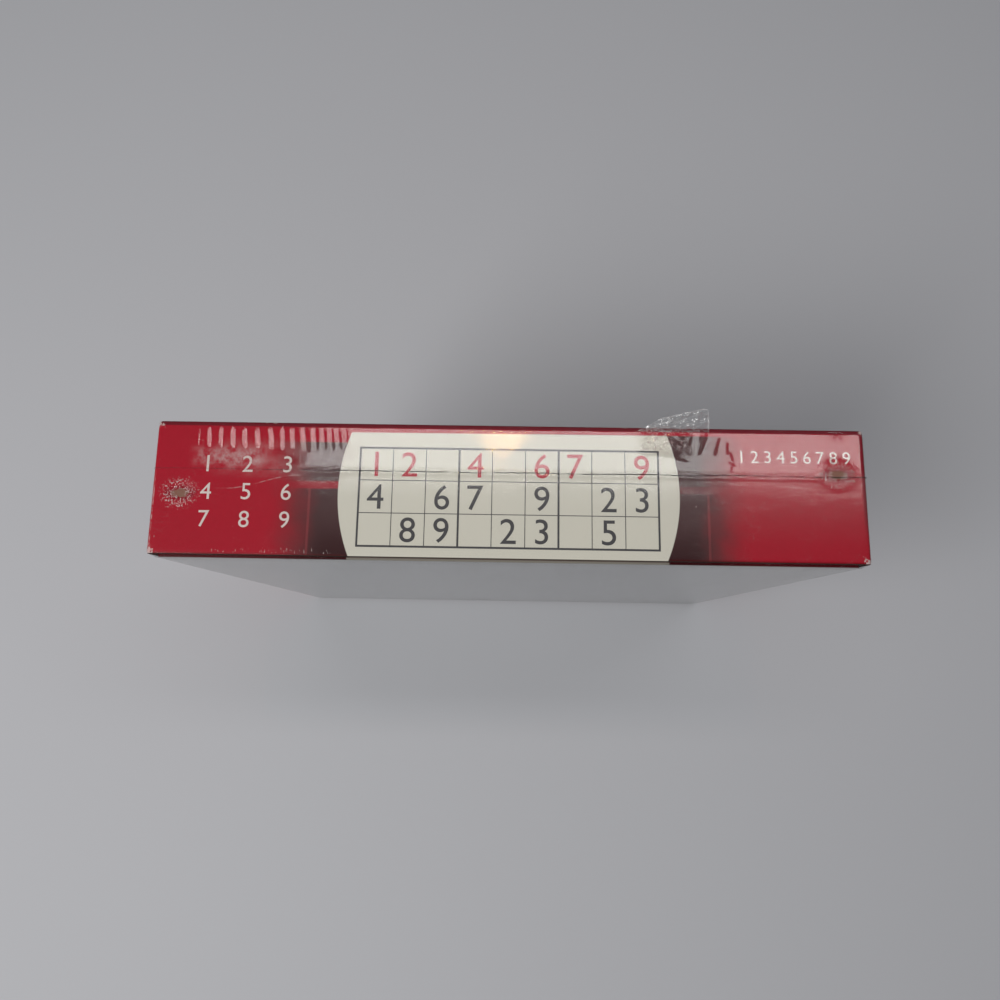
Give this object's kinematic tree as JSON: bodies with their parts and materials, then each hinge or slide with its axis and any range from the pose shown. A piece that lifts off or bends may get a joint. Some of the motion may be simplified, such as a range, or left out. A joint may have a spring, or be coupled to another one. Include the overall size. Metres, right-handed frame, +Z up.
{
  "type": "boxed sudoku game",
  "caption": "Square sudoku game box sealed in clear film, with a lift-off lid, card insert, gridded board, loose number tiles, booklet and leaflet.",
  "frame": {"origin": "middle of the footprint of the box as it stands on one side wall in the picture", "axes": "+X along the printed upper wall, left to right in the picture; +Y from the base underside to the lid top; +Z up, out of the printed upper wall"},
  "size_m": [0.2678, 0.052, 0.2759],
  "materials": {
    "greyboard": "raw grey board",
    "printed_paper": "gloss-laminated print",
    "white_paper": "smooth white paper",
    "stay_paper": "gummed kraft paper",
    "film": "clear shrink film",
    "white_card": "white-lined folding card",
    "board_print": "printed and varnished",
    "dark_paper": "matt black paper",
    "frame_plastic": "satin moulded plastic",
    "tile_plastic": "polished moulded plastic",
    "cover_paper": "gloss cover stock",
    "staple_wire": "galvanised wire"
  },
  "bodies": {
    "base": {"base_shell": "greyboard", "base_wrap": "white_paper", "base_corner_stays": "stay_paper", "card_insert": "white_card", "film_lower": "film"},
    "lid": {"lid_shell": "greyboard", "lid_wrap": "printed_paper", "lid_corner_stays": "stay_paper", "film_upper": "film"},
    "board": {"board_core": "greyboard", "board_face": "board_print", "board_liner": "dark_paper", "grid_frame": "frame_plastic"},
    "booklet": {"booklet_cover": "cover_paper", "booklet_pages": "white_paper", "booklet_staples": "staple_wire"},
    "leaflet": {"rules_leaflet": "white_paper"},
    "tiles_1": {"tiles_1": "tile_plastic"},
    "tiles_2": {"tiles_2": "tile_plastic"},
    "tiles_3": {"tiles_3": "tile_plastic"},
    "tiles_4": {"tiles_4": "tile_plastic"},
    "tiles_5": {"tiles_5": "tile_plastic"},
    "tiles_6": {"tiles_6": "tile_plastic"},
    "tiles_7": {"tiles_7": "tile_plastic"},
    "tiles_8": {"tiles_8": "tile_plastic"},
    "tiles_9": {"tiles_9": "tile_plastic"}
  },
  "joints": [
    {"name": "lid_lift", "type": "slide", "parent": "base", "child": "lid", "axis": [0, 1, 0], "range_m": [0, 0.25]},
    {"name": "board_lift", "type": "slide", "parent": "base", "child": "board", "axis": [0, 1, 0], "range_m": [0, 0.115]},
    {"name": "leaflet_lift", "type": "slide", "parent": "base", "child": "leaflet", "axis": [0, 1, 0], "range_m": [0, 0.09]},
    {"name": "booklet_lift", "type": "slide", "parent": "base", "child": "booklet", "axis": [0, 1, 0], "range_m": [0, 0.06]},
    {"name": "tiles_1_lift", "type": "slide", "parent": "board", "child": "tiles_1", "axis": [0, 1, 0], "range_m": [0, 0.0225]},
    {"name": "tiles_2_lift", "type": "slide", "parent": "board", "child": "tiles_2", "axis": [0, 1, 0], "range_m": [0, 0.025]},
    {"name": "tiles_3_lift", "type": "slide", "parent": "board", "child": "tiles_3", "axis": [0, 1, 0], "range_m": [0, 0.0275]},
    {"name": "tiles_4_lift", "type": "slide", "parent": "board", "child": "tiles_4", "axis": [0, 1, 0], "range_m": [0, 0.03]},
    {"name": "tiles_5_lift", "type": "slide", "parent": "board", "child": "tiles_5", "axis": [0, 1, 0], "range_m": [0, 0.0325]},
    {"name": "tiles_6_lift", "type": "slide", "parent": "board", "child": "tiles_6", "axis": [0, 1, 0], "range_m": [0, 0.035]},
    {"name": "tiles_7_lift", "type": "slide", "parent": "board", "child": "tiles_7", "axis": [0, 1, 0], "range_m": [0, 0.0375]},
    {"name": "tiles_8_lift", "type": "slide", "parent": "board", "child": "tiles_8", "axis": [0, 1, 0], "range_m": [0, 0.04]},
    {"name": "tiles_9_lift", "type": "slide", "parent": "board", "child": "tiles_9", "axis": [0, 1, 0], "range_m": [0, 0.0425]}
  ],
  "couplings": [
    {"joint": "board_lift", "follows": "lid_lift", "ratio": 0.46},
    {"joint": "leaflet_lift", "follows": "lid_lift", "ratio": 0.36},
    {"joint": "booklet_lift", "follows": "lid_lift", "ratio": 0.24},
    {"joint": "tiles_1_lift", "follows": "lid_lift", "ratio": 0.09},
    {"joint": "tiles_2_lift", "follows": "lid_lift", "ratio": 0.1},
    {"joint": "tiles_3_lift", "follows": "lid_lift", "ratio": 0.11},
    {"joint": "tiles_4_lift", "follows": "lid_lift", "ratio": 0.12},
    {"joint": "tiles_5_lift", "follows": "lid_lift", "ratio": 0.13},
    {"joint": "tiles_6_lift", "follows": "lid_lift", "ratio": 0.14},
    {"joint": "tiles_7_lift", "follows": "lid_lift", "ratio": 0.15},
    {"joint": "tiles_8_lift", "follows": "lid_lift", "ratio": 0.16},
    {"joint": "tiles_9_lift", "follows": "lid_lift", "ratio": 0.17}
  ]
}
